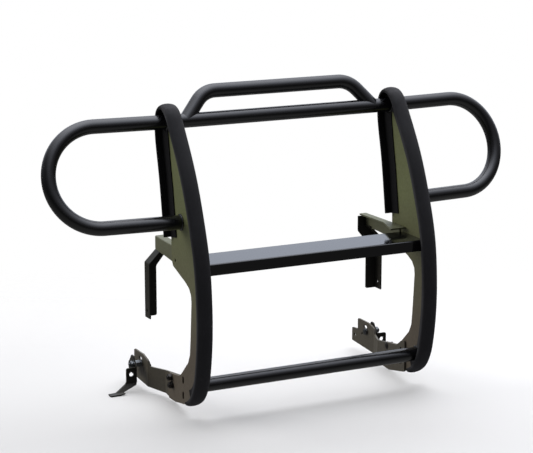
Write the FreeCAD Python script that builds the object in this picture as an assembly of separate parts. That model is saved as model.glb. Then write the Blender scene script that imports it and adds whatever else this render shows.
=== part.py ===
import FreeCAD, Part
import math
import os

V = FreeCAD.Vector
os.makedirs("parts", exist_ok=True)

# Working coordinates put the top cross tube near (Y 0, Z 0). Export moves the guard so that the part
# origin is midway between the two foot holes, where the vehicle holds it: X right, Y rearward, Z up.

# driving dimensions, mm
TUBE_OD = 38.1
TUBE_WALL = 2.4
PLATE_X = 334.5          # centre plane of each upright plate
PLATE_T = 5.0
SHEET_T = 4.0            # light brackets
ARM_T = 5.0              # lower bracket
FOLD_R = 3.5             # outside radius of a sharp fold in the light brackets
FACE_IN = PLATE_X - PLATE_T / 2
FACE_OUT = PLATE_X + PLATE_T / 2

TOP_TUBE = (-8.0, 2.0)           # Y, Z of tube centres
BOTTOM_TUBE = (-179.0, -668.0)
WING_LOW = (-97.0, -247.3)
WING_SWEEP = 5.0                 # degrees rearward
WING_STRAIGHT = 195.0

HOOP_RISE = 70.0
HOOP_LEAN = 0.37                 # rearward run per unit rise
HOOP_TOP_X = 217.0
HOOP_FOOT_X = 281.0
HOOP_BEND = 70.0

CHANNEL_FRONT_Y = -207.0
CHANNEL_DEPTH = 117.0
CHANNEL_TOP_Z = -340.0
CHANNEL_LIP = 30.4
CHANNEL_REAR_LIP = 12.0
CHANNEL_T = 3.0
CHANNEL_CORNER = 4.0

TRIM_HALF = 22.0                 # half width of the rubber cap
TRIM_RIM = 8.0                   # depth of the cap behind the trim line
TRIM_CROWN = 6.0                 # height of the dome in front of the trim line
TRIM_SHOULDER = 3.0              # depth at which the dome meets the cap's sides
TRIM_LEG_T = 3.0
TRIM_LEG_FRONT = 37.0
TUBE_RELIEF_R = 22.7             # hole in the rubber legs around each welded tube
WELD_LEG = 2.9

TRIM_LINE = [
    (-160, -722), (-192, -702), (-215, -668), (-232, -608), (-242.5, -510), (-240.5, -425),
    (-226.5, -325), (-194, -225), (-147, -118), (-103, -45), (-70, 4), (-42, 36), (-10, 45),
    (14, 30), (24, -5), (20, -52), (6, -112), (-8, -180), (-18.5, -246), (-27, -300)]
TRIM_FRONT_COUNT = 10            # points of TRIM_LINE that belong to the front run

PLATE_BACK = [
    (-37, -362), (-45, -375), (-125, -402), (-147, -413), (-159, -428), (-162, -446), (-158, -500),
    (-153, -560), (-149, -592), (-137, -616), (-90, -660), (-75, -669), (-40, -674), (-10, -678),
    (-4, -684), (-3, -742), (-8, -749), (-40, -749), (-105, -739), (-149, -726)]
LEG_WINDOW_REAR = [(-72.5, -293), (-64, -239), (-53.3, -172), (-39, -103), (-26, -32), (-25, -16), (-33, -15)]

SLOTS = [(-103.0, -673.0), (-103.0, -715.0)]
SLOT_R = 5.5
SLOT_LENGTH = 21.0
LOBE_HOLE_R = 4.5

BRACKET_BOLTS = [(-24, -686.5), (-30, -706.6)]
BOLT_R = 5.0
BOLT_HOLE_R = 5.6
HEX_FLATS = 17.0
HEAD_H = 6.5
NUT_H = 8.0
BOLT_END = 3.0                   # thread that stands out of a nut
DOME_R = 10.0                    # carriage bolt head
DOME_H = 3.0
WASHER_R = 10.0
WASHER_T = 2.0

FOOT_BOLT = (138.0, -689.0)
FOOT_FLANGE_X = 42.0             # distances outboard of the upright centre plane
FOOT_TAB_X = (44.0, 74.0)
FOOT_TAB_Y = 122.0
FOOT_HOLE = (59.0, -712.0)
FOOT_HOLE_R = 6.5
EAR_SLOT = (144.5, -677.0)
EAR_SLOT_R = 5.0
EAR_SLOT_LENGTH = 20.0
EAR_HOLE = (162.0, -701.5)
EAR_HOLE_R = 4.5
TAIL_HOLE = (206.0, -716.0)
TAIL_HOLE_R = 5.5

STRAP_FACE_Y = 101.0
STRAP_FLANGE = 35.0
STRAP_HOLE = (84.0, -526.0)
STRAP_HOLE_R = 4.5
WEB_HOLE = (-60.0, -357.0)
WEB_HOLE_R = 4.5

SHIFT_Y = -FOOT_TAB_Y
SHIFT_Z = -FOOT_HOLE[1]


def bend(before, corner, after, radius):
    """Start, middle and end of the arc that rounds a corner."""
    u_in = (before - corner).normalize()
    u_out = (after - corner).normalize()
    half = u_in.getAngle(u_out) / 2
    reach = radius / math.tan(half)
    middle = (u_in + u_out).normalize()
    centre = corner + middle * (radius / math.sin(half))
    return corner + u_in * reach, centre - middle * radius, corner + u_out * reach


def outline(corners, place):
    """Closed wire through corners (a, b) or, where a corner is rounded, (a, b, radius)."""
    points = [place(*corner[:2]) for corner in corners]
    turns = []
    for i, corner in enumerate(corners):
        if len(corner) == 3:
            turns.append(bend(points[i - 1], points[i], points[(i + 1) % len(points)], corner[2]))
        else:
            turns.append((points[i], None, points[i]))
    edges = []
    for i, (start, middle, end) in enumerate(turns):
        if middle is not None:
            edges.append(Part.Arc(start, middle, end).toShape())
        following = turns[(i + 1) % len(turns)][0]
        if end.distanceToPoint(following) > 1e-6:
            edges.append(Part.makeLine(end, following))
    return Part.Wire(edges)


def prism_x(corners, x0, x1):
    return Part.Face(outline(corners, lambda y, z: V(x0, y, z))).extrude(V(x1 - x0, 0, 0))


def prism_y(corners, y0, y1):
    return Part.Face(outline(corners, lambda x, z: V(x, y0, z))).extrude(V(0, y1 - y0, 0))


def prism_z(corners, z0, z1):
    return Part.Face(outline(corners, lambda x, y: V(x, y, z0))).extrude(V(0, 0, z1 - z0))


def beside(corners):
    """Corners whose first value is a distance from the upright's centre plane."""
    return [(PLATE_X + corner[0], *corner[1:]) for corner in corners]


def rod_x(y, z, radius, x0, x1):
    return Part.makeCylinder(radius, x1 - x0, V(x0, y, z), V(1, 0, 0))


def strip(centre, thickness):
    """Outline of a bent sheet that follows a 2-D centre line, with bends of one thickness inside radius."""
    left = []
    right = []
    half = thickness / 2
    last = len(centre) - 1
    for i, (x, y) in enumerate(centre):
        before = centre[max(i - 1, 0)]
        after = centre[min(i + 1, last)]
        a = V(x - before[0], y - before[1], 0)
        b = V(after[0] - x, after[1] - y, 0)
        normals = [V(-d.y, d.x, 0).normalize() for d in (a, b) if d.Length > 0]
        normal = sum(normals[1:], normals[0]) * (1 / len(normals))
        reach = normal * (half / normal.dot(normal))
        corner_left = (x + reach.x, y + reach.y)
        corner_right = (x - reach.x, y - reach.y)
        if 0 < i < last:
            turns_left = a.cross(b).z > 0
            corner_left += (thickness if turns_left else 2 * thickness,)
            corner_right += (2 * thickness if turns_left else thickness,)
        left.append(corner_left)
        right.append(corner_right)
    return left + right[::-1]


def slot_x(y, z, radius, along_y, along_z, x0, x1):
    """Round-ended hole through a sheet that lies across X."""
    corners = ((-1, -1), (1, -1), (1, 1), (-1, 1))
    ring = [(y + a * along_y / 2, z + b * along_z / 2, radius) for a, b in corners]
    return prism_x(ring, x0, x1)


def trim_curve():
    curve = Part.BSplineCurve()
    curve.interpolate([V(0, y, z) for y, z in TRIM_LINE])
    return curve


def offset_points(curve, depth, first, last, count):
    """Points of the trim line moved inward (towards the plate) by depth."""
    points = []
    for i in range(count):
        u = first + (last - first) * i / (count - 1)
        p = curve.value(u)
        t = curve.tangent(u)[0]
        points.append(V(0, p.y - t.z * -depth, p.z - t.y * depth))
    return points


def spline_edge(points):
    curve = Part.BSplineCurve()
    curve.interpolate(points)
    return curve.toShape()


def chain(points):
    return [Part.makeLine(a, b) for a, b in zip(points[:-1], points[1:])]


def upright_plate():
    curve = trim_curve()
    rim = offset_points(curve, TRIM_RIM, curve.FirstParameter, curve.LastParameter, 60)
    back = [V(0, y, z) for y, z in PLATE_BACK]
    edges = [spline_edge(rim)] + chain([rim[-1]] + back + [rim[0]])
    face = Part.Face(Part.Wire(edges))
    plate = face.extrude(V(PLATE_T, 0, 0))
    plate.translate(V(FACE_IN, 0, 0))
    for y, z in BRACKET_BOLTS:
        plate = plate.cut(rod_x(y, z, BOLT_HOLE_R, FACE_IN - 1, FACE_OUT + 1))
    for y, z in SLOTS:
        plate = plate.cut(slot_x(y, z, SLOT_R, 2 * SLOT_R, SLOT_LENGTH, FACE_IN - 1, FACE_OUT + 1))
    return plate.cut(rod_x(*WEB_HOLE, WEB_HOLE_R, FACE_IN - 1, FACE_OUT + 1))


def trim_cap():
    """Domed rubber cap swept along the trim line."""
    curve = trim_curve()
    path = Part.Wire([curve.toShape()])
    start = curve.value(curve.FirstParameter)
    t = curve.tangent(curve.FirstParameter)[0]

    def at(x, depth):
        return V(x, start.y + t.z * depth, start.z - t.y * depth)

    dome = Part.Ellipse(at(TRIM_HALF, TRIM_SHOULDER), at(0, -TRIM_CROWN), at(0, TRIM_SHOULDER))
    soft = 1.5
    rim = [at(-TRIM_HALF, TRIM_SHOULDER), at(-TRIM_HALF, TRIM_RIM - soft), at(-TRIM_HALF + soft, TRIM_RIM)]
    rim += [at(TRIM_HALF - soft, TRIM_RIM), at(TRIM_HALF, TRIM_RIM - soft), at(TRIM_HALF, TRIM_SHOULDER)]
    section = Part.Wire([dome.toShape(0, math.pi)] + chain(rim))
    sweep = Part.BRepOffsetAPI.MakePipeShell(path)
    sweep.setBiNormalMode(V(1, 0, 0))
    sweep.add(section)
    sweep.build()
    sweep.makeSolid()
    cap = Part.Shape(sweep.shape())
    cap.translate(V(PLATE_X, 0, 0))
    return cap


def trim_legs():
    """Two thin lips that grip the plate edge on both faces."""
    curve = trim_curve()
    first, last = curve.FirstParameter, curve.LastParameter
    outer = offset_points(curve, TRIM_RIM / 2, first, last, 60)
    turn = curve.parameter(V(0, *TRIM_LINE[TRIM_FRONT_COUNT]))
    inner = offset_points(curve, TRIM_LEG_FRONT, first, turn, 30)
    rear = [V(0, y, z) for y, z in LEG_WINDOW_REAR]
    edges = [spline_edge(outer)] + chain([outer[-1]] + rear + [inner[-1]])
    edges += [spline_edge(inner[::-1])] + chain([inner[0], outer[0]])
    face = Part.Face(Part.Wire(edges))
    legs = []
    for x in (FACE_IN - TRIM_LEG_T, FACE_OUT):
        leg = face.extrude(V(TRIM_LEG_T, 0, 0))
        leg.translate(V(x, 0, 0))
        legs.append(leg)
    return legs


def rubber_trim():
    trim = trim_cap()
    for leg in trim_legs():
        trim = trim.fuse(leg)
    reliefs = [rod_x(*TOP_TUBE, TUBE_RELIEF_R, PLATE_X - 30, PLATE_X + 30),
               rod_x(*BOTTOM_TUBE, TUBE_RELIEF_R, PLATE_X - 30, PLATE_X)]
    y0 = CHANNEL_FRONT_Y - 1
    reliefs.append(Part.makeBox(30, CHANNEL_DEPTH, CHANNEL_LIP + 2,
                                V(PLATE_X - 30, y0, CHANNEL_TOP_Z - CHANNEL_LIP - 1)))
    for relief in reliefs:
        trim = trim.cut(relief)
    return trim.removeSplitter()


def pipe(path, centre, direction):
    """Round tube swept along a wire."""
    shells = []
    for radius in (TUBE_OD / 2, TUBE_OD / 2 - TUBE_WALL):
        ring = Part.Wire([Part.Circle(centre, direction, radius).toShape()])
        shells.append(path.makePipeShell([ring], True, False))
    return shells[0].cut(shells[1])


def cross_tube(y, z):
    solid = rod_x(y, z, TUBE_OD / 2, -FACE_IN, FACE_IN)
    return solid.cut(rod_x(y, z, TUBE_OD / 2 - TUBE_WALL, -FACE_IN, FACE_IN))


def bend_path(points, radius):
    """Wire through points with every inner corner rounded."""
    edges = []
    at = points[0]
    for before, corner, after in zip(points, points[1:], points[2:]):
        start, middle, end = bend(before, corner, after, radius)
        edges.append(Part.makeLine(at, start))
        edges.append(Part.Arc(start, middle, end).toShape())
        at = end
    edges.append(Part.makeLine(at, points[-1]))
    return Part.Wire(edges)


def top_hoop():
    y0, z0 = TOP_TUBE
    y1, z1 = y0 + HOOP_LEAN * HOOP_RISE, z0 + HOOP_RISE
    points = [V(-HOOP_FOOT_X, y0, z0), V(-HOOP_TOP_X, y1, z1), V(HOOP_TOP_X, y1, z1), V(HOOP_FOOT_X, y0, z0)]
    direction = points[1] - points[0]
    hoop = pipe(bend_path(points, HOOP_BEND), points[0], direction)
    return hoop.cut(rod_x(y0, z0, TUBE_OD / 2, -FACE_IN, FACE_IN))


def wing_frame():
    sweep = math.radians(WING_SWEEP)
    along = V(math.cos(sweep), math.sin(sweep), 0)
    back = 10 / math.cos(sweep)
    high = V(FACE_OUT, *TOP_TUBE) - along * back
    low = V(FACE_OUT, *WING_LOW) - along * back
    return along, high, low


def wing_tube():
    along, high, low = wing_frame()
    run = WING_STRAIGHT / along.x + 10
    high_end = high + along * run
    low_end = low + along * (run + (high - low).dot(along))
    middle = (high_end + low_end) * 0.5
    radius = (high_end - low_end).Length / 2
    arc = Part.Arc(high_end, middle + along * radius, low_end).toShape()
    path = Part.Wire([Part.makeLine(high, high_end), arc, Part.makeLine(low_end, low)])
    tube = pipe(path, high, along)
    inside = Part.makeBox(60, 600, 600, V(FACE_OUT - 60, -300, -450))
    return tube.cut(inside)


def weld_rings(places):
    """Convex bead around each tube end: point on the axis, direction, plate face x, sign away from it."""
    rings = []
    for point, direction, x, side in places:
        centre = point + direction * ((x - point.x) / direction.x)
        bead = Part.makeTorus(TUBE_OD / 2 + WELD_LEG / 6, WELD_LEG, centre, direction)
        bead = bead.cut(Part.makeCylinder(TUBE_OD / 2, 60, centre - direction * 30, direction))
        corner = V(x - 20, point.y - 40, point.z - 40) if side > 0 else V(x, point.y - 40, point.z - 40)
        rings.append(bead.cut(Part.makeBox(20, 80, 80, corner)))
    return rings


def upright_welds():
    along, high, low = wing_frame()
    across = V(1, 0, 0)
    return Part.Compound(weld_rings([
        (high, along, FACE_OUT, 1), (low, along, FACE_OUT, 1),
        (V(0, *TOP_TUBE), across, FACE_IN, -1), (V(0, *BOTTOM_TUBE), across, FACE_IN, -1)]))


def center_channel():
    y0, y1 = CHANNEL_FRONT_Y, CHANNEL_FRONT_Y + CHANNEL_DEPTH
    z1 = CHANNEL_TOP_Z
    outer = Part.makeBox(2 * FACE_IN, CHANNEL_DEPTH, CHANNEL_LIP, V(-FACE_IN, y0, z1 - CHANNEL_LIP))
    ends = [e for e in outer.Edges if abs(e.BoundBox.XLength - 2 * FACE_IN) < 1e-6]
    top_edges = [e for e in ends if abs(e.BoundBox.ZMax - z1) < 1e-6]
    outer = outer.makeFillet(CHANNEL_CORNER, top_edges)
    inner = Part.makeBox(2 * FACE_IN + 2, CHANNEL_DEPTH - 2 * CHANNEL_T, CHANNEL_LIP,
                         V(-FACE_IN - 1, y0 + CHANNEL_T, z1 - CHANNEL_LIP - CHANNEL_T))
    spare = CHANNEL_LIP - CHANNEL_REAR_LIP
    corner = V(-FACE_IN - 1, y1 - CHANNEL_T, z1 - CHANNEL_LIP)
    trim = Part.makeBox(2 * FACE_IN + 2, CHANNEL_T + 1, spare, corner)
    return outer.cut(inner).cut(trim)


def upper_bracket():
    """Folded angle: a web on the inner face of the plate and a top flange that widens to a nose."""
    sheet = strip([(-4.5, -113), (-4.5, -33), (-9.5, 99)], SHEET_T)
    side = [(-84, -324), (100, -324), (100, -358), (92, -363, 6), (30, -364), (-33, -368, 20), (-46, -378, 8),
            (-84, -378, 6)]
    web = prism_z(beside(sheet), -380, -324).common(prism_x(side, PLATE_X - 40, PLATE_X + 40))
    outer_edge = sheet[:2:-1]
    flange = prism_z(beside(outer_edge + [(-31, 99), (-27, -33, 30), (-52, -113)]), -328, -324)
    bracket = web.fuse(flange).removeSplitter()
    fold = [e for e in bracket.Edges if e.BoundBox.ZMin > -324.001 and e.BoundBox.XMin > PLATE_X - 8]
    bracket = bracket.makeFillet(FOLD_R, fold)
    return bracket.cut(rod_x(*WEB_HOLE, WEB_HOLE_R, PLATE_X - 20, PLATE_X))


def upper_strap():
    """Angle-section hanger: a face across the vehicle and an outer flange, joggled outboard."""
    sheet = strip([(-13.5, -331), (-13.5, -357.8), (23, -393.8), (23, -546)], SHEET_T)
    y0 = STRAP_FACE_Y - STRAP_FLANGE
    below = Part.makeBox(100, STRAP_FLANGE, 200, V(PLATE_X - 50, y0, -557))
    lip = prism_y(beside(sheet), y0, STRAP_FACE_Y).common(below)
    inner_edge = [(-9, -546, 5), (-9, -407, 12), (-36, -374, 12), (-36, -331)]
    face = prism_y(beside(sheet[:4] + inner_edge), STRAP_FACE_Y - SHEET_T, STRAP_FACE_Y)
    strap = face.fuse(lip).removeSplitter()
    fold = [e for e in strap.Edges if e.BoundBox.YMin > STRAP_FACE_Y - 0.001 and e.BoundBox.ZLength > 1
            and e.CenterOfMass.x > PLATE_X - 5]
    strap = strap.makeFillet(FOLD_R, fold).cut(upper_bracket())
    return strap.cut(rod_x(*STRAP_HOLE, STRAP_HOLE_R, PLATE_X, PLATE_X + 60)).removeSplitter()


def lower_bracket():
    """Bent arm: bolted lobe on the inner face of the plate, dog-leg outboard, tail with an ear."""
    lobe_x = -PLATE_T / 2 - ARM_T / 2
    plan = strip([(lobe_x, -123), (lobe_x, 28), (20, 93), (20, 223)], ARM_T)
    arm = prism_z(beside(plan), -760, -640)
    side = [(-123, -646, 5), (-104, -650, 10), (-80, -668, 15), (28, -683), (84, -685.5, 3),
            (94, -669, 12), (128, -661, 20), (189, -661, 5), (189, -694), (223, -697, 3), (223, -736, 4),
            (93, -744), (28, -747), (-38, -753), (-123, -736, 6)]
    arm = arm.common(prism_x(side, PLATE_X - 40, PLATE_X + 60))
    holes = [rod_x(y, z, BOLT_HOLE_R, PLATE_X - 20, PLATE_X) for y, z in BRACKET_BOLTS]
    holes += [rod_x(y, z, LOBE_HOLE_R, PLATE_X - 20, PLATE_X) for y, z in SLOTS]
    holes.append(slot_x(*EAR_SLOT, EAR_SLOT_R, EAR_SLOT_LENGTH, 2 * EAR_SLOT_R, PLATE_X + 10, PLATE_X + 30))
    holes.append(rod_x(*FOOT_BOLT, BOLT_HOLE_R, PLATE_X + 10, PLATE_X + 30))
    holes.append(rod_x(*EAR_HOLE, EAR_HOLE_R, PLATE_X + 10, PLATE_X + 30))
    holes.append(rod_x(*TAIL_HOLE, TAIL_HOLE_R, PLATE_X + 10, PLATE_X + 30))
    for hole in holes:
        arm = arm.cut(hole)
    return arm


def foot_bracket():
    """Hanging tab with a side flange for its bolt and a foot that splays outboard to the sole."""
    sheet = strip([(FOOT_TAB_Y, -672), (FOOT_TAB_Y, -738), (100, -755), (84, -755)], SHEET_T)
    sheet = prism_x(sheet, PLATE_X + FOOT_TAB_X[0], PLATE_X + 140)
    x0, x1 = FOOT_TAB_X
    front = [(x0, -694), (x1, -694, 5), (x1, -737, 12), (112, -753, 20), (134, -753.5), (134, -757.5),
             (108, -757.5), (x0, -741, 8)]
    tab = sheet.common(prism_y(beside(front), 60, 160))
    y0 = FOOT_TAB_Y - SHEET_T / 2
    side = [(y0, -694), (131, -681, 6), (141, -667, 6), (154, -666, 6), (163, -682, 6), (174, -690, 8),
            (174, -714, 10), (y0, -714)]
    flange = prism_x(side, PLATE_X + FOOT_FLANGE_X, PLATE_X + FOOT_FLANGE_X + SHEET_T)
    beside_fold = Part.makeBox(10, SHEET_T, 43, V(PLATE_X + FOOT_FLANGE_X, y0, -737))
    angle = flange.fuse(beside_fold).removeSplitter()
    fold = [e for e in angle.Edges if e.BoundBox.XMax < PLATE_X + FOOT_FLANGE_X + 0.001
            and e.BoundBox.YMax < y0 + 0.001 and e.BoundBox.ZLength > 1]
    foot = angle.makeFillet(FOLD_R, fold).fuse(tab.cut(beside_fold))
    x, z = FOOT_HOLE
    foot = foot.cut(Part.makeCylinder(FOOT_HOLE_R, 40, V(PLATE_X + x, FOOT_TAB_Y - 20, z), V(0, 1, 0)))
    return foot.cut(rod_x(*FOOT_BOLT, BOLT_HOLE_R, PLATE_X + 35, PLATE_X + 60)).removeSplitter()


def hex_prism(y, z, x0, height):
    radius = HEX_FLATS / math.sqrt(3)
    ring = []
    for k in range(6):
        angle = math.radians(60 * k + 30)
        ring.append((y + radius * math.cos(angle), z + radius * math.sin(angle)))
    body = prism_x(ring, x0, x0 + height)
    crown = Part.makeCone(HEX_FLATS / 2 + height * 1.6, HEX_FLATS / 2 - 0.4, height, V(x0, y, z), V(1, 0, 0))
    base = Part.makeCone(HEX_FLATS / 2 - 0.4, HEX_FLATS / 2 + height * 1.6, height, V(x0, y, z), V(1, 0, 0))
    return body.common(crown).common(base)


def washer(y, z, x0):
    ring = Part.makeCylinder(WASHER_R, WASHER_T, V(x0, y, z), V(1, 0, 0))
    return ring.cut(rod_x(y, z, BOLT_R + 0.4, x0 - 1, x0 + WASHER_T + 1))


def nut(y, z, x0):
    return hex_prism(y, z, x0, NUT_H).cut(rod_x(y, z, BOLT_R, x0 - 1, x0 + NUT_H + 1))


def carriage_head(y, z, x):
    """Low dome whose flat side is at x, bulging towards the middle of the vehicle."""
    radius = (DOME_R ** 2 + DOME_H ** 2) / (2 * DOME_H)
    ball = Part.makeSphere(radius, V(x - DOME_H + radius, y, z))
    return ball.common(rod_x(y, z, DOME_R, x - DOME_H, x))


def arm_hardware():
    """Carriage bolts, washers and nuts that clamp the lower bracket to the plate."""
    inner = FACE_IN - ARM_T
    bolts = []
    washers = []
    nuts = []
    for y, z in BRACKET_BOLTS:
        shank = rod_x(y, z, BOLT_R, inner, FACE_OUT + WASHER_T + NUT_H + BOLT_END)
        bolts.append(carriage_head(y, z, inner).fuse(shank))
        washers.append(washer(y, z, FACE_OUT))
        nuts.append(nut(y, z, FACE_OUT + WASHER_T))
    return Part.Compound(bolts), Part.Compound(washers), Part.Compound(nuts)


def foot_hardware():
    """Long bolt, hexagonal standoff, washer and nut that hold the foot bracket off the arm."""
    y, z = FOOT_BOLT
    x_in = PLATE_X + 20 - ARM_T / 2
    x_out = PLATE_X + 20 + ARM_T / 2
    x_flange = PLATE_X + FOOT_FLANGE_X
    end = x_flange + SHEET_T + WASHER_T + NUT_H + BOLT_END
    bolt = hex_prism(y, z, x_in - HEAD_H, HEAD_H).fuse(rod_x(y, z, BOLT_R, x_in, end))
    standoff = hex_prism(y, z, x_out, x_flange - x_out)
    standoff = standoff.cut(rod_x(y, z, BOLT_R + 0.5, x_out - 1, x_flange + 1))
    ring = washer(y, z, x_flange + SHEET_T)
    return bolt, standoff, ring, nut(y, z, x_flange + SHEET_T + WASHER_T)


def save(name, shape):
    part = shape.copy()
    part.translate(V(0, SHIFT_Y, SHIFT_Z))
    part.exportStep("parts/" + name + ".step")
    box = part.BoundBox
    print("%-28s %s solids %d volume %.0f  x %.1f..%.1f y %.1f..%.1f z %.1f..%.1f" % (
        name, part.isValid(), len(part.Solids), part.Volume,
        box.XMin, box.XMax, box.YMin, box.YMax, box.ZMin, box.ZMax))


def save_pair(name, shape):
    save("right_" + name, shape)
    save("left_" + name, shape.mirror(V(0, 0, 0), V(1, 0, 0)))


save_pair("upright_plate", upright_plate())
save_pair("rubber_trim", rubber_trim())
save_pair("wing_tube", wing_tube())
save_pair("tube_welds", upright_welds())
save_pair("upper_bracket", upper_bracket())
save_pair("upper_strap", upper_strap())
save_pair("lower_bracket", lower_bracket())
save_pair("foot_bracket", foot_bracket())
bolts, washers, nuts = arm_hardware()
save_pair("arm_bolts", bolts)
save_pair("arm_washers", washers)
save_pair("arm_nuts", nuts)
foot_bolt, foot_standoff, foot_washer, foot_nut = foot_hardware()
save_pair("foot_bolt", foot_bolt)
save_pair("foot_standoff", foot_standoff)
save_pair("foot_washer", foot_washer)
save_pair("foot_nut", foot_nut)
save("top_cross_tube", cross_tube(*TOP_TUBE))
save("bottom_cross_tube", cross_tube(*BOTTOM_TUBE))
save("top_hoop_tube", top_hoop())
save("center_channel", center_channel())
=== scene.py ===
import math

import bpy
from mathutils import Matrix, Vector


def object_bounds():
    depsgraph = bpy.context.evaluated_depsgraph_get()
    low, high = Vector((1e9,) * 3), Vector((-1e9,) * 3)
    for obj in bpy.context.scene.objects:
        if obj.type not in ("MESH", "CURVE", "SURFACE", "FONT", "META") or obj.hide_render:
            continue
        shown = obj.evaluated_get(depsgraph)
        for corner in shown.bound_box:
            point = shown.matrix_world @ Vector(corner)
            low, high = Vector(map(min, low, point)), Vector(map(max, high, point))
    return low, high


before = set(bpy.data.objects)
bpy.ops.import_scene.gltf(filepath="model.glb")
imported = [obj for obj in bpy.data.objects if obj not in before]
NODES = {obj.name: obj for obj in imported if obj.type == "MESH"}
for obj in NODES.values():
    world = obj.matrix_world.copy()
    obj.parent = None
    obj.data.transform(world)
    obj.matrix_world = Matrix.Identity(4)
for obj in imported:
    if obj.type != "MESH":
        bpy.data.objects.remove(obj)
cad_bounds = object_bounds()

# camera: where the photographer stands and what the view is centred on
CAMERA_AZIMUTH = math.radians(-26.254)
CAMERA_ELEVATION = math.radians(12.732)
CAMERA_AIM = Vector((-0.058, -0.157, 0.413))
CAMERA_DISTANCE = 4.90
CAMERA_LENS = 122.9

# heights between which a painted reflection turns the olive coat from its lower to its upper colour
PAINTED_REFLECTION_LOW = 0.12
PAINTED_REFLECTION_HIGH = 0.48

# painted shade: the rubber's rear run is darker, as it is seen from its shaded inner side; it lies past
# these distances along this direction
REAR_RUN_WAY = (0, 1, -0.2)
REAR_RUN_START = -0.314
REAR_RUN_FULL = -0.279
REAR_RUN_SHADE_TONE = (0.2, 0.2, 0.2)

# the floor: half its width, where it starts to fade, its brightness with painted light from left to right,
# and how much it reflects and gives off
FLOOR_SIZE = 4.0
FLOOR_FADE_RADIUS = 1.3
FLOOR_FADE_DEPTH = (0.2, 1.2)
FLOOR_HALF_VIEW = 0.7
# painted light: the floor's tone runs from darker on the left to brighter on the right
FLOOR_LEFT = (0.765, 0.765, 0.765)
FLOOR_RIGHT = (0.90, 0.90, 0.90)
FLOOR_ALBEDO = (0.58, 0.58, 0.58)
FLOOR_OWN_LIGHT = 0.25

# what gloss surfaces see in front of the guard, behind it and to its left:
# (upward part of the direction, colour)
FRONT_ROOM = [(-0.6, (0.26, 0.26, 0.26)), (-0.2, (0.09, 0.09, 0.09)), (0.0, (0.05, 0.05, 0.05)),
              (0.44, (0.30, 0.30, 0.33)), (0.71, (1.05, 1.10, 1.25)), (0.91, (2.45, 2.55, 2.85)),
              (1.0, (3.20, 3.30, 3.60))]
BACK_ROOM = [(-0.5, (0.22, 0.22, 0.22)), (0.0, (0.05, 0.05, 0.05)), (0.1, (0.74, 0.80, 0.93)),
             (0.3, (0.74, 0.80, 0.93)), (0.6, (1.00, 1.02, 1.10)), (1.0, (3.20, 3.30, 3.60))]
LEFT_ROOM = [(-0.4, (0.16, 0.16, 0.16)), (0.0, (0.04, 0.04, 0.04)), (0.6, (0.14, 0.14, 0.15)),
             (1.0, (0.60, 0.62, 0.66))]

SIDES = ("right_", "left_")


class Shader:
    """A node material built around one Principled shader."""

    def __init__(self, name, **constants):
        self.material = bpy.data.materials.new(name)
        self.material.use_nodes = True
        self.tree = self.material.node_tree
        self.principled = self.tree.nodes["Principled BSDF"]
        for socket, value in constants.items():
            self.principled.inputs[socket.replace("_", " ")].default_value = value
        self.place = self.add("ShaderNodeTexCoord").outputs["Object"]

    def add(self, kind, **settings):
        node = self.tree.nodes.new(kind)
        for key, value in settings.items():
            setattr(node, key, value)
        return node

    def link(self, output, target, socket):
        self.tree.links.new(output, target.inputs[socket])

    def noise(self, scale, detail=4.0, roughness=0.5, stretch=(1, 1, 1)):
        mapping = self.add("ShaderNodeMapping")
        mapping.inputs["Scale"].default_value = stretch
        self.link(self.place, mapping, "Vector")
        texture = self.add("ShaderNodeTexNoise")
        texture.inputs["Scale"].default_value = scale
        texture.inputs["Detail"].default_value = detail
        texture.inputs["Roughness"].default_value = roughness
        self.link(mapping.outputs["Vector"], texture, "Vector")
        return texture.outputs["Fac"]

    def ramp(self, value, stops):
        node = self.add("ShaderNodeValToRGB")
        while len(node.color_ramp.elements) < len(stops):
            node.color_ramp.elements.new(0.5)
        for element, (position, colour) in zip(node.color_ramp.elements, stops):
            element.position = position
            element.color = (*colour, 1)
        self.link(value, node, "Fac")
        return node.outputs["Color"]

    def remap(self, value, low, high, to_low, to_high):
        node = self.add("ShaderNodeMapRange")
        limits = {"From Min": low, "From Max": high, "To Min": to_low, "To Max": to_high}
        for socket, number in limits.items():
            node.inputs[socket].default_value = number
        self.link(value, node, "Value")
        return node.outputs["Result"]

    def multiply(self, first, second):
        """Product of a colour output and another output or a plain colour."""
        node = self.add("ShaderNodeMix", data_type="RGBA", blend_type="MULTIPLY")
        factor, one, other = node.inputs[0], node.inputs[6], node.inputs[7]
        factor.default_value = 1.0
        self.tree.links.new(first, one)
        if isinstance(second, tuple):
            other.default_value = (*second, 1)
        else:
            self.tree.links.new(second, other)
        return node.outputs[2]

    def along(self, direction):
        """Distance from the object's origin along a direction."""
        dot = self.add("ShaderNodeVectorMath", operation="DOT_PRODUCT")
        self.link(self.place, dot, 0)
        dot.inputs[1].default_value = direction
        return dot.outputs["Value"]

    def bump(self, layers):
        """Chain of bump maps: (height, distance in metres, strength)."""
        normal = None
        for height, distance, strength in layers:
            node = self.add("ShaderNodeBump")
            node.inputs["Distance"].default_value = distance
            node.inputs["Strength"].default_value = strength
            self.link(height, node, "Height")
            if normal is not None:
                self.link(normal, node, "Normal")
            normal = node.outputs["Normal"]
        self.link(normal, self.principled, "Normal")

    def colour(self, output):
        self.link(output, self.principled, "Base Color")

    def rough(self, output):
        self.link(output, self.principled, "Roughness")


def tube_finish():
    """Gloss black powder coat with fine orange peel."""
    s = Shader("tube_powder_coat", Metallic=0.0, Coat_Weight=0.35, Coat_Roughness=0.14)
    s.colour(s.ramp(s.noise(9, 5), [(0.3, (0.0030, 0.0030, 0.0038)), (0.7, (0.0055, 0.0055, 0.0070))]))
    s.rough(s.remap(s.noise(60, 5), 0.3, 0.7, 0.20, 0.28))
    s.bump([(s.noise(520, 2), 0.00005, 0.25)])
    return s.material


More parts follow.
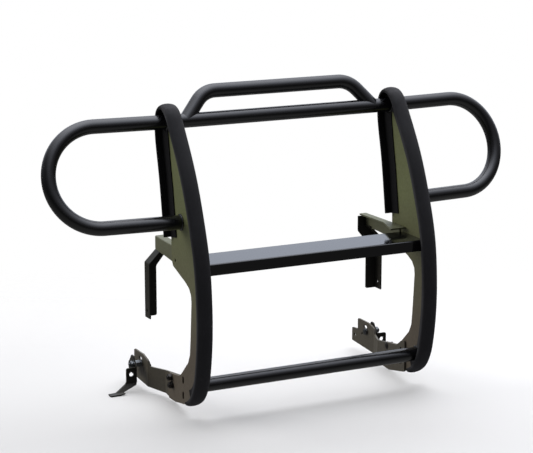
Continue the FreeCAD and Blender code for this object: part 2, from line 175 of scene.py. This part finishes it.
def channel_finish():
    """The flat channel's coat, smoother than the tubes', so that it mirrors the room."""
    s = Shader("channel_powder_coat", Metallic=0.0, Coat_Weight=0.5, Coat_Roughness=0.04)
    s.colour(s.ramp(s.noise(7, 5), [(0.3, (0.002, 0.002, 0.0025)), (0.7, (0.004, 0.004, 0.005))]))
    s.rough(s.remap(s.noise(45, 5), 0.3, 0.7, 0.08, 0.14))
    s.bump([(s.noise(420, 2), 0.00003, 0.2)])
    return s.material


def olive_coat_and_painted_reflection(s, low, high):
    """Base colour that turns from low to high up the guard as a painted reflection, with speckle and faint
    clouds.
    """
    height = s.remap(s.along((0, 0, 1)), PAINTED_REFLECTION_LOW, PAINTED_REFLECTION_HIGH, 0.0, 1.0)
    speckle = s.ramp(s.noise(240, 3), [(0.35, (0.88, 0.88, 0.88)), (0.65, (1.08, 1.08, 1.08))])
    cloud = s.ramp(s.noise(6, 5), [(0.3, (0.93, 0.93, 0.93)), (0.7, (1.05, 1.05, 1.04))])
    # painted reflection: the colour changes from low to high with height
    base = s.ramp(height, [(0.0, low), (1.0, high)])
    s.colour(s.multiply(s.multiply(base, speckle), cloud))


def plate_finish():
    """Satin coat, olive above and turning brown-grey towards the bottom; the turn is a painted reflection.
    """
    s = Shader("plate_powder_coat", Metallic=0.0, Specular_IOR_Level=0.25)
    # the olive to brown-grey change with height is a painted reflection
    olive_coat_and_painted_reflection(s, (0.100, 0.083, 0.062), (0.130, 0.143, 0.065))
    s.rough(s.remap(s.noise(80, 4), 0.3, 0.7, 0.46, 0.60))
    s.bump([(s.noise(650, 2), 0.0001, 0.3)])
    return s.material


def bracket_painted_shade_finish():
    """The same coat over the formed steel, darkened as painted shade, with rub marks."""
    s = Shader("bracket_coat_painted_shade", Metallic=0.0, Specular_IOR_Level=0.3)
    # darker copy of the plate colours: painted shade, plus the same painted reflection up the guard
    olive_coat_and_painted_reflection(s, (0.078, 0.070, 0.054), (0.112, 0.120, 0.068))
    s.rough(s.remap(s.noise(70, 5), 0.3, 0.7, 0.36, 0.50))
    s.bump([(s.noise(600, 2), 0.0001, 0.3), (s.noise(30, 3), 0.0003, 0.12)])
    return s.material


def strap_painted_shade_finish():
    """The coat of the hanging straps and the feet, darker again as painted shade, and darkest towards the
    top.
    """
    s = Shader("strap_coat_painted_shade", Metallic=0.0, Specular_IOR_Level=0.12)
    # darker copy of the olive coat: painted shade, darkest towards the top
    olive_coat_and_painted_reflection(s, (0.034, 0.032, 0.027), (0.013, 0.014, 0.010))
    s.rough(s.remap(s.noise(70, 5), 0.3, 0.7, 0.32, 0.46))
    s.bump([(s.noise(600, 2), 0.0001, 0.3), (s.noise(30, 3), 0.0003, 0.12)])
    return s.material


def rubber_finish():
    """Matte moulded rubber, faintly grained, with a paler bloom in patches and painted shade darkening the
    rear run.
    """
    s = Shader("rubber", Metallic=0.0, Specular_IOR_Level=0.12)
    bloom = s.ramp(s.noise(11, 6, 0.6), [(0.35, (0.042, 0.042, 0.045)), (0.75, (0.052, 0.052, 0.056))])
    # painted shade on the rear run of the trim
    rear = s.remap(s.along(REAR_RUN_WAY), REAR_RUN_START, REAR_RUN_FULL, 0.0, 1.0)
    shade = s.ramp(rear, [(0.0, (1, 1, 1)), (1.0, REAR_RUN_SHADE_TONE)])
    grain = s.ramp(s.noise(900, 2), [(0.3, (0.85, 0.85, 0.85)), (0.7, (1.12, 1.12, 1.12))])
    s.colour(s.multiply(s.multiply(bloom, shade), grain))
    s.rough(s.remap(s.noise(90, 5), 0.3, 0.7, 0.60, 0.74))
    s.bump([(s.noise(1100, 3), 0.00012, 0.4), (s.noise(120, 3), 0.0004, 0.1)])
    return s.material


def zinc_finish():
    """Dulled zinc plate with machining marks."""
    s = Shader("zinc_plate", Metallic=1.0)
    s.colour(s.ramp(s.noise(120, 5), [(0.3, (0.10, 0.105, 0.11)), (0.7, (0.20, 0.21, 0.215))]))
    s.rough(s.remap(s.noise(260, 4, stretch=(6, 1, 1)), 0.3, 0.7, 0.42, 0.58))
    s.bump([(s.noise(900, 2, stretch=(6, 1, 1)), 0.0001, 0.3)])
    return s.material


def black_oxide_finish():
    """Dark oiled hardware with a faint brown cast in patches."""
    s = Shader("black_oxide", Metallic=0.85)
    s.colour(s.ramp(s.noise(150, 5), [(0.3, (0.030, 0.028, 0.028)), (0.75, (0.085, 0.078, 0.070))]))
    s.rough(s.remap(s.noise(220, 4), 0.3, 0.7, 0.34, 0.5))
    s.bump([(s.noise(800, 2), 0.0001, 0.3)])
    return s.material


def full_names(short):
    """A node's own name, or its right and left names."""
    return [short] if short in NODES else [side + short for side in SIDES]


def paint_nodes():
    finishes = {
        tube_finish: ["top_cross_tube", "bottom_cross_tube", "top_hoop_tube", "wing_tube", "tube_welds"],
        channel_finish: ["center_channel"],
        plate_finish: ["upright_plate"],
        bracket_painted_shade_finish: ["upper_bracket", "lower_bracket"],
        strap_painted_shade_finish: ["upper_strap", "foot_bracket"],
        rubber_finish: ["rubber_trim"],
        zinc_finish: ["foot_bolt", "foot_standoff", "foot_washer", "foot_nut"],
        black_oxide_finish: ["arm_bolts", "arm_washers", "arm_nuts"]}
    for finish, shorts in finishes.items():
        material = finish()
        for short in shorts:
            for name in full_names(short):
                node = NODES[name]
                node.data.materials.clear()
                node.data.materials.append(material)


def floor_material():
    """Pale floor, a little brighter towards the right as painted light, that fades into the white room."""
    s = Shader("studio_floor", Roughness=0.6, Specular_IOR_Level=0.2, Emission_Strength=FLOOR_OWN_LIGHT)
    depth = s.along((-math.sin(CAMERA_AZIMUTH), math.cos(CAMERA_AZIMUTH), 0))
    aside = s.along((math.cos(CAMERA_AZIMUTH), math.sin(CAMERA_AZIMUTH), 0))
    across = s.remap(aside, -FLOOR_HALF_VIEW, FLOOR_HALF_VIEW, 0.0, 1.0)
    cloud = s.ramp(s.noise(2.5, 6), [(0.3, (0.985, 0.985, 0.985)), (0.7, (1.0, 1.0, 1.0))])
    # painted light across the floor, from the left tone to the right tone
    tone = s.multiply(s.ramp(across, [(0.0, FLOOR_LEFT), (1.0, FLOOR_RIGHT)]), cloud)
    s.link(tone, s.principled, "Emission Color")
    s.colour(s.multiply(tone, FLOOR_ALBEDO))
    s.bump([(s.noise(60, 4), 0.0005, 0.05)])
    radius = s.add("ShaderNodeVectorMath", operation="LENGTH")
    s.link(s.place, radius, 0)
    cover = s.add("ShaderNodeMath", operation="MINIMUM")
    s.link(s.remap(depth, *FLOOR_FADE_DEPTH, 1.0, 0.0), cover, 0)
    s.link(s.remap(radius.outputs["Value"], FLOOR_FADE_RADIUS, FLOOR_SIZE, 1.0, 0.0), cover, 1)
    s.link(cover.outputs["Value"], s.principled, "Alpha")
    return s.material


def studio_floor():
    mesh = bpy.data.meshes.new("floor")
    corners = [(FLOOR_SIZE * x, FLOOR_SIZE * y, 0) for x, y in ((-1, -1), (1, -1), (1, 1), (-1, 1))]
    mesh.from_pydata(corners, [], [(0, 1, 2, 3)])
    floor = bpy.data.objects.new("floor", mesh)
    floor.location.z = cad_bounds[0].z
    floor.data.materials.append(floor_material())
    bpy.context.scene.collection.objects.link(floor)
    floor.visible_diffuse = False
    floor.visible_glossy = False


def softbox(name, place, aim, size, power, colour=(1, 1, 1)):
    data = bpy.data.lights.new(name, "AREA")
    data.shape = "RECTANGLE"
    data.size, data.size_y = size
    data.energy = power
    data.color = colour
    light = bpy.data.objects.new(name, data)
    light.location = place
    light.rotation_euler = (Vector(aim) - Vector(place)).to_track_quat("-Z", "Y").to_euler()
    light.visible_glossy = False
    bpy.context.scene.collection.objects.link(light)


def sky(tree, axis, stops):
    """Colour that follows one component of the direction looked in."""
    split = tree.nodes.new("ShaderNodeSeparateXYZ")
    tree.links.new(tree.nodes.new("ShaderNodeTexCoord").outputs["Generated"], split.inputs["Vector"])
    spread = tree.nodes.new("ShaderNodeMapRange")
    spread.inputs["From Min"].default_value = -1.0
    tree.links.new(split.outputs[axis], spread.inputs["Value"])
    ramp = tree.nodes.new("ShaderNodeValToRGB")
    while len(ramp.color_ramp.elements) < len(stops):
        ramp.color_ramp.elements.new(0.5)
    for element, (position, colour) in zip(ramp.color_ramp.elements, stops):
        element.position = (position + 1) / 2
        element.color = (*colour, 1)
    tree.links.new(spread.outputs["Result"], ramp.inputs["Fac"])
    return ramp.outputs["Color"]


def glow(tree, colour):
    """Light of one colour output."""
    background = tree.nodes.new("ShaderNodeBackground")
    tree.links.new(colour, background.inputs["Color"])
    return background.outputs["Background"]


def blend(tree, factor, first, second):
    """The first light where factor is 0, the second where it is 1."""
    node = tree.nodes.new("ShaderNodeMixShader")
    for index, output in enumerate((factor, first, second)):
        tree.links.new(output, node.inputs[index])
    return node.outputs["Shader"]


def room():
    """White for the lens, soft light for matt surfaces, and a ceiling and walls for glossy ones."""
    world = bpy.data.worlds.new("room")
    bpy.context.scene.world = world
    world.use_nodes = True
    tree = world.node_tree
    backdrop = tree.nodes["Background"]
    backdrop.inputs["Color"].default_value = (1, 1, 1, 1)
    soft = sky(tree, "Y", [(-0.3, (0.13, 0.13, 0.14)), (0.7, (0.90, 0.90, 0.94))])
    front, back, left = [glow(tree, sky(tree, "Z", stops)) for stops in (FRONT_ROOM, BACK_ROOM, LEFT_ROOM)]
    rearward = sky(tree, "Y", [(-0.25, (0, 0, 0)), (0.25, (1, 1, 1))])
    leftward = sky(tree, "X", [(-0.8, (0.9, 0.9, 0.9)), (-0.1, (0, 0, 0))])
    mirrored = blend(tree, leftward, blend(tree, rearward, front, back), left)
    path = tree.nodes.new("ShaderNodeLightPath")
    unseen = blend(tree, path.outputs["Is Glossy Ray"], glow(tree, soft), mirrored)
    seen = blend(tree, path.outputs["Is Camera Ray"], unseen, backdrop.outputs["Background"])
    tree.links.new(seen, tree.nodes["World Output"].inputs["Surface"])


def studio_light():
    centre = sum(cad_bounds, Vector()) / 2
    softbox("overhead", (1.1, 1.5, 3.3), centre, (5.5, 4.0), 240, (0.98, 0.98, 1.0))
    softbox("left_fill", (-3.4, 2.4, 1.5), centre, (2.0, 2.0), 92, (1.0, 0.98, 0.93))
    softbox("right_fill", (4.0, 0.2, 1.6), centre, (2.0, 2.0), 30)


def photo_camera():
    data = bpy.data.cameras.new("camera")
    data.lens = CAMERA_LENS
    data.sensor_width = 36.0
    data.clip_end = 200
    camera = bpy.data.objects.new("camera", data)
    back = Vector((math.sin(CAMERA_AZIMUTH) * math.cos(CAMERA_ELEVATION),
                   -math.cos(CAMERA_AZIMUTH) * math.cos(CAMERA_ELEVATION), math.sin(CAMERA_ELEVATION)))
    camera.location = CAMERA_AIM + back * CAMERA_DISTANCE
    camera.rotation_euler = (-back).to_track_quat("-Z", "Y").to_euler()
    bpy.context.scene.collection.objects.link(camera)
    bpy.context.scene.camera = camera


paint_nodes()
studio_floor()
room()
studio_light()
photo_camera()
bpy.context.scene.view_settings.view_transform = "Standard"
